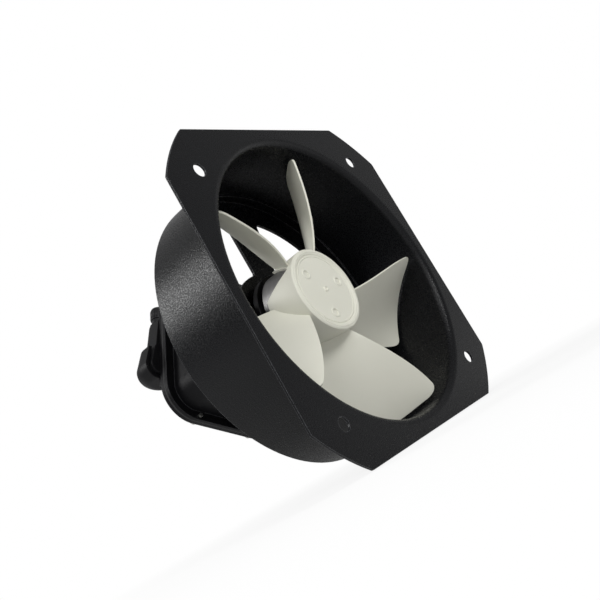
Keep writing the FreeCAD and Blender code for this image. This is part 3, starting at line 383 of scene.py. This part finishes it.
def moulding():
    """Matt warm-white plastic with faint flow and a fine spark grain."""
    white = Finish("impeller_moulding", specular_ior_level=0.35)
    cloud = white.noise(per_metre=18, detail=3.0)
    flow = white.noise(per_metre=70, roughness=0.6)
    skin = white.noise(per_metre=1700)
    colour = white.mix(cloud * 0.6 + flow * 0.4, WHITE_DEEP, WHITE_PALE)
    normal = white.bump(skin, distance=0.00003, strength=0.9, corner=0.0005)
    return white.feed(base_color=colour, roughness=0.44 + flow * 0.14, normal=normal)


def ring_mesh(name, rings):
    """Low rounded rings facing the front, each a closed band with its foot below the surface."""
    points, faces = [], []
    count = len(RING_SECTION)
    for out, turn, radius, half, rise, face in rings:
        middle_x = out * math.cos(math.radians(turn))
        middle_z = out * math.sin(math.radians(turn))
        first = len(points)
        for step in range(RING_STEPS):
            angle = math.tau * step / RING_STEPS
            here = first + step * count
            there = first + (step + 1) % RING_STEPS * count
            for side, (across, up) in enumerate(RING_SECTION):
                away = radius + across * half
                x = middle_x + away * math.cos(angle)
                z = middle_z + away * math.sin(angle)
                points.append((x, face - up * rise, z))
                beside = (side + 1) % count
                faces.append((here + side, here + beside, there + beside, there + side))
    mesh = bpy.data.meshes.new(name)
    mesh.from_pydata(points, [], faces)
    mesh.polygons.foreach_set("use_smooth", [True] * len(faces))
    return mesh


def placed(name, data):
    """A new object in the scene, which starts at the origin."""
    item = bpy.data.objects.new(name, data)
    bpy.context.scene.collection.objects.link(item)
    return item


white_plastic = moulding()
dress("impeller", white_plastic)
cap_rings = ring_mesh("impeller_cap_rings", (GATE_RING, *MARK_RINGS, FACE_RING, RIM_RING))
cap_rings.materials.append(white_plastic)
rings = placed("impeller_cap_rings", cap_rings)
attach(rings, "rotor")

# Rear housing: a cast shell round the motor's connections, with a rubber gasket and a screwed
# cover behind it, all in semi-gloss black.


def black_rubber():
    """Matt black rubber with a faint bloom."""
    matt = Finish("black_rubber", specular_ior_level=0.3)
    bloom = matt.noise(per_metre=150, detail=3.0)
    colour = matt.mix(bloom, grey(0.014), grey(0.030))
    skin = matt.noise(per_metre=1300)
    normal = matt.bump(skin, distance=0.00008, strength=0.6, corner=0.0004)
    return matt.feed(base_color=colour, roughness=0.66 + bloom * 0.16, normal=normal)


rubber = black_rubber()
dress("rear_housing", castings)
dress("rear_cover", castings)
dress("cover_gasket", rubber)
dress("cover_screws", plated)

# Run capacitor: a black moulded can that lies inside the rear cover. A bright steel strap and
# two screws hold it there.

PLASTIC_DARK = (0.0045, 0.0045, 0.0050, 1)
PLASTIC_PALE = (0.0095, 0.0095, 0.0105, 1)


def black_moulding():
    """Black moulded plastic with a fine spark-eroded grain and polished corners."""
    black = Finish("black_moulding", specular_ior_level=0.09)
    spark = black.noise(per_metre=1500, roughness=0.6)
    cloud = black.noise(per_metre=60)
    colour = black.mix(cloud, PLASTIC_DARK, PLASTIC_PALE)
    normal = black.bump(spark, distance=0.00012, strength=0.6, corner=0.0007)
    return black.feed(base_color=colour, roughness=0.38 + cloud * 0.14, normal=normal)


black_plastic = black_moulding()
strip = turned_steel("strip_steel", grey(0.48), grey(0.64), roughness=0.18, lines=2600)
dress("capacitor", black_plastic)
dress("capacitor_strap", strip)
dress("strap_screws", plated)

# Terminal box: a moulded hood under a domed lid with two screw tabs. Inside it a nylon block
# clamps three leads under its screws.

dress("terminal_box", black_plastic)
dress("terminal_cover", black_plastic)
dress("terminal_cover_screws", plated)
dress("terminal_block", nylon)
dress("clamp_screws", plated)

# Cable gland: a threaded body and a domed nut in dark nylon, with a rubber seal between them.
# Fine ribs round the nut give fingers a grip.

GLAND_DARK = (0.0055, 0.0055, 0.0062, 1)
GLAND_PALE = (0.0120, 0.0120, 0.0130, 1)
NUT_FOOT = Vector((-0.02038, 0.1502, 0.05151))
NUT_AXIS = Vector((0.515, 0.0, 0.8572)).normalized()
NUT_TURN = NUT_AXIS.to_track_quat("Z", "Y").to_euler()
RIB_SIDES = 10
GRIP = {
    "Count": 16,
    "Radius": 0.0055,
    "Rib": 0.00045,
    "Foot": 0.0013,
    "Length": 0.0062,
    "Place": tuple(NUT_FOOT),
    "Turn": tuple(NUT_TURN),
}
SOCKET_KINDS = {int: "NodeSocketInt", float: "NodeSocketFloat", tuple: "NodeSocketVector"}


def dark_nylon():
    """Dark nylon with the soft gloss of a small moulding."""
    dark = Finish("dark_nylon", specular_ior_level=0.25)
    cloud = dark.noise(per_metre=300)
    satin = dark.noise(per_metre=1900)
    colour = dark.mix(cloud, GLAND_DARK, GLAND_PALE)
    normal = dark.bump(satin, distance=0.00006, strength=0.5, corner=0.0005)
    return dark.feed(base_color=colour, roughness=0.26 + cloud * 0.14, normal=normal)


def grip_tree(finish):
    """Ribs round a nut: one round bar at every step of a circle, standing on the nut's foot."""
    tree = bpy.data.node_groups.new("grip_ribs", "GeometryNodeTree")
    for name, size in GRIP.items():
        kind = SOCKET_KINDS[type(size)]
        tree.interface.new_socket(name=name, in_out="INPUT", socket_type=kind)
    tree.interface.new_socket(name="Geometry", in_out="OUTPUT", socket_type="NodeSocketGeometry")
    board = Board(tree)

    def step(kind, **sockets):
        return Wire(board, board.node(kind, {}, sockets).outputs[0])

    outputs = board.node("NodeGroupInput").outputs
    count, radius, rib, foot, length, place, turn = (Wire(board, outputs[name]) for name in GRIP)
    circle = step("GeometryNodeMeshCircle", Vertices=count, Radius=radius)
    bar = step("GeometryNodeMeshCylinder", Vertices=RIB_SIDES, Radius=rib, Depth=length)
    middle = step("ShaderNodeCombineXYZ", Z=foot + length * 0.5)
    bar = step("GeometryNodeTransform", Geometry=bar, Translation=middle)
    ribs = step("GeometryNodeInstanceOnPoints", Points=circle, Instance=bar)
    ribs = step("GeometryNodeTransform", Geometry=ribs, Translation=place, Rotation=turn)
    ribs = step("GeometryNodeRealizeInstances", Geometry=ribs)
    ribs = step("GeometryNodeSetMaterial", Geometry=ribs, Material=finish)
    board.node("NodeGroupOutput", {}, {"Geometry": ribs})
    return tree


def grown(name, tree, sizes):
    """The plain mesh object that a Geometry Nodes tree makes with the given sizes."""
    start = placed(name + "_start", bpy.data.meshes.new(name + "_start"))
    modifier = start.modifiers.new("nodes", "NODES")
    modifier.node_group = tree
    for item in tree.interface.items_tree:
        if item.in_out == "INPUT":
            modifier[item.identifier] = sizes[item.name]
    evaluated = start.evaluated_get(bpy.context.evaluated_depsgraph_get())
    mesh = bpy.data.meshes.new_from_object(evaluated)
    bpy.data.objects.remove(start)
    return placed(name, mesh)


gland = dark_nylon()
dress("gland_body", gland)
dress("gland_nut", gland)
dress("gland_seal", rubber)
ribs = grown("gland_nut_ribs", grip_tree(gland), GRIP)
# The bars' sides are four-cornered faces, and their flat ends aren't
for face in ribs.data.polygons:
    face.use_smooth = len(face.vertices) == 4
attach(ribs, "frame")

# The photographer's table: a pale floor under the flange's lower edge, soft lamps, a white
# backdrop and the camera.

PAPER_DARK = grey(0.90)
PAPER_PALE = grey(0.93)
FLOOR_GAP = 0.0005
FLOOR_HALF = 3.0
# How far from the fan's axis the floor starts to glow more, and where it glows fully
GLOW_FROM = 0.10
GLOW_FULL = 0.55
# The floor's share of glow under the fan, as the camera and as a glossy surface see it
EYE_GLOW = 0.86
MIRROR_GLOW = 0.12
CAMERA_AT = Vector((-0.4367, -0.2656, -0.0906))
CAMERA_AIM = Vector((-0.0205, 0.0289, 0.0))
CAMERA_ROLL = math.radians(29.9)
LENS = 48.27
SENSOR_WIDTH = 36
LAMP_AWAY = 1.2
WHITE_LIGHT = (1, 1, 1, 1)
# The backdrop's strength for each kind of ray
BACKDROP = (
    ("Is Camera Ray", 1.0),
    ("Is Transmission Ray", 1.0),
    ("Is Glossy Ray", 0.42),
    ("Is Diffuse Ray", 0.22),
)


def paper():
    """White paper: matt to the lamps, and white to the eye except for the fan's soft shadow."""
    white = Finish("paper", roughness=1.0, specular_ior_level=0.0)
    white.feed(base_color=white.mix(white.noise(per_metre=60), PAPER_DARK, PAPER_PALE))
    rays = white.node("ShaderNodeLightPath").outputs
    eye = Wire(white, rays["Is Camera Ray"])
    mirror = Wire(white, rays["Is Glossy Ray"])
    glass = Wire(white, rays["Is Transmission Ray"])
    away = (white.x * white.x + white.y * white.y).each("SQRT").fade(GLOW_FROM, GLOW_FULL)
    to_eye = (eye + glass) * (EYE_GLOW + away * (1 - EYE_GLOW))
    to_mirror = mirror * (MIRROR_GLOW + away * (1 - MIRROR_GLOW))
    light = white.node("ShaderNodeEmission", {}, {"Color": WHITE_LIGHT, "Strength": 1.0})
    matt = Wire(white, white.shader.outputs[0])
    glow = Wire(white, light.outputs[0])
    both = white.node("ShaderNodeMixShader", {}, {0: to_eye + to_mirror, 1: matt, 2: glow})
    white.plug(Wire(white, both.outputs[0]), white.there("OUTPUT_MATERIAL").inputs["Surface"])
    return white.material


def floor_mesh():
    """A level square sheet just under the flange's lower edge."""
    level = cad_low.z - FLOOR_GAP
    signs = ((-1, -1), (1, -1), (1, 1), (-1, 1))
    corners = [(x * FLOOR_HALF, y * FLOOR_HALF, level) for x, y in signs]
    mesh = bpy.data.meshes.new("floor")
    mesh.from_pydata(corners, [], [(0, 1, 2, 3)])
    return mesh


floor = placed("floor", floor_mesh())
floor.data.materials.append(paper())

camera = placed("camera", bpy.data.cameras.new("camera"))
camera.data.lens = LENS
camera.data.sensor_width = SENSOR_WIDTH
camera.data.clip_start = 0.01
look = (CAMERA_AIM - CAMERA_AT).normalized()
camera.location = CAMERA_AT
camera.rotation_mode = "QUATERNION"
camera.rotation_quaternion = Quaternion(look, CAMERA_ROLL) @ look.to_track_quat("-Z", "Y")
bpy.context.scene.camera = camera

# The photograph's own right, top and near side, which the lamps stand by
to_right = camera.rotation_quaternion @ Vector((1, 0, 0))
to_top = camera.rotation_quaternion @ Vector((0, 1, 0))
to_camera = camera.rotation_quaternion @ Vector((0, 0, 1))


def lamp(name, right, top, near, size, power):
    """A soft square lamp that faces the fan."""
    light = placed(name, bpy.data.lights.new(name, "AREA"))
    light.data.size = size
    light.data.energy = power
    way = (to_right * right + to_top * top + to_camera * near).normalized()
    light.location = way * LAMP_AWAY
    light.rotation_mode = "QUATERNION"
    light.rotation_quaternion = (-way).to_track_quat("-Z", "Y")


lamp("top_lamp", right=0.04, top=0.82, near=0.62, size=0.34, power=6.4)
lamp("corner_lamp", right=-0.6, top=0.7, near=0.8, size=0.6, power=4.4)
lamp("side_lamp", right=-1.0, top=0.06, near=-0.06, size=0.4, power=6.2)

world = bpy.data.worlds.new("studio")
world.use_nodes = True
bpy.context.scene.world = world
sky = Board(world.node_tree)
rays = sky.node("ShaderNodeLightPath").outputs
strength = sum(Wire(sky, rays[kind]) * level for kind, level in BACKDROP)
backdrop = sky.there("BACKGROUND")
sky.plug(strength, backdrop.inputs["Strength"])
sky.plug(WHITE_LIGHT, backdrop.inputs["Color"])

bpy.context.scene.view_settings.view_transform = "Standard"
